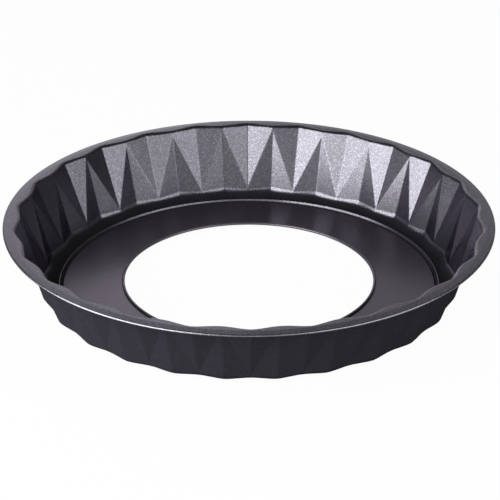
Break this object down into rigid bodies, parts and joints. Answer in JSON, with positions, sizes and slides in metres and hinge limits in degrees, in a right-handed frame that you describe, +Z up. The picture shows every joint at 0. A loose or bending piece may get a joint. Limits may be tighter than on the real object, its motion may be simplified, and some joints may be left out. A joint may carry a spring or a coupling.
{
  "type": "round baking pan",
  "caption": "Round fluted baking pan of dark coated steel: a folded, faceted side with a rounded lip and a hemmed rim, and a loose base with a large open centre that lifts out.",
  "frame": {"origin": "on the pan's axis, at the level that the pan stands on", "axes": "+Z up along the pan's axis; an outer crease of the rim lies on +Y"},
  "size_m": [0.3002, 0.3002, 0.0451],
  "materials": {
    "ring_coat": "dark grey non-stick coat with a fine metallic fleck, satin",
    "base_coat": "dark grey non-stick coat, smooth satin"
  },
  "bodies": {
    "ring": {"fluted_ring": "ring_coat"},
    "base": {"loose_base": "base_coat"}
  },
  "joints": [
    {"name": "base_lift", "type": "slide", "parent": "ring", "child": "base", "axis": [0, 0, 1], "range_m": [0, 0.06]}
  ]
}
